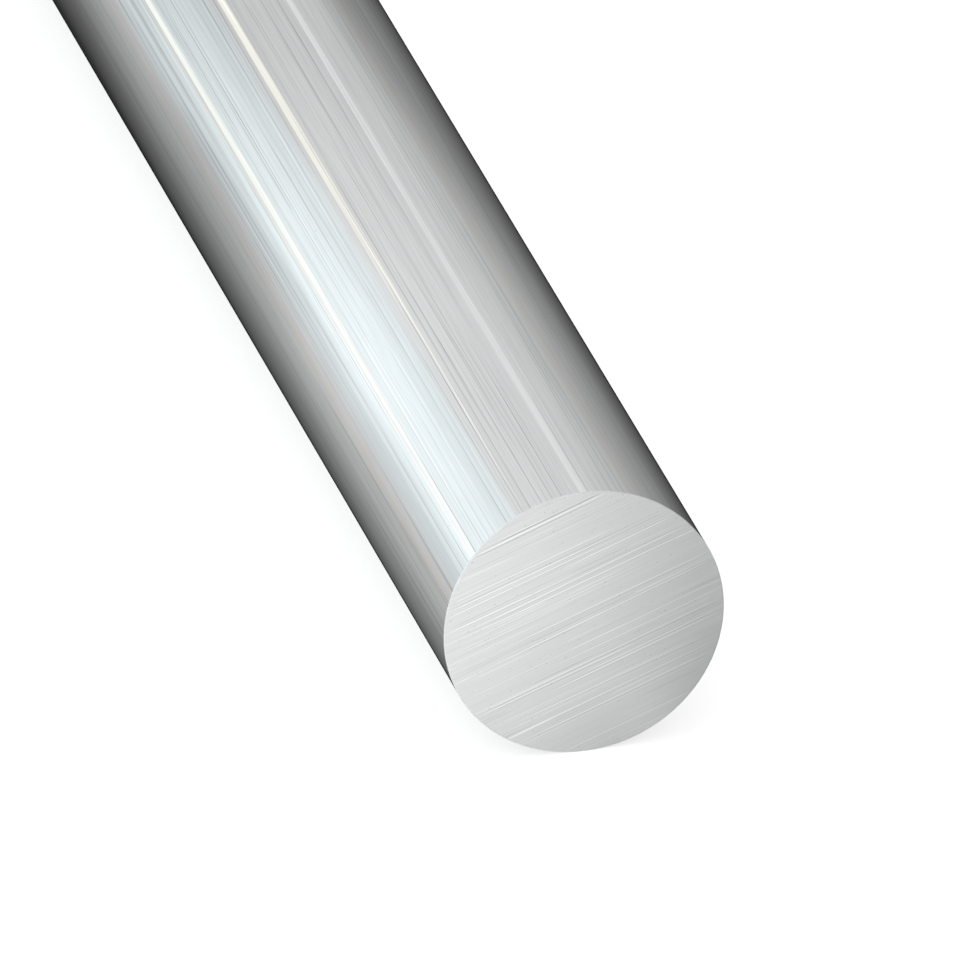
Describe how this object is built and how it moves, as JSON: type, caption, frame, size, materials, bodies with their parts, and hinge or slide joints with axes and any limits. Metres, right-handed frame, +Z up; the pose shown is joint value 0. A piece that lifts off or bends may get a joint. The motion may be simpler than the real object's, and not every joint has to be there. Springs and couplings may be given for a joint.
{
  "type": "round metal bar",
  "caption": "Solid round bar of mill-finish aluminium with square sawn ends and lightly broken rims, for turning, clamping or cutting to length.",
  "frame": {"origin": "on the floor, under the middle of the lying bar", "axes": "+X along the bar, towards the end that faces the viewer; +Y across it; +Z up from the floor it lies on"},
  "size_m": [0.3, 0.025, 0.025],
  "materials": {
    "mill_finish_aluminium": "mill finish, with fine die lines along the side and saw marks across the ends"
  },
  "bodies": {
    "root": {"round_bar": "mill_finish_aluminium"}
  },
  "joints": []
}
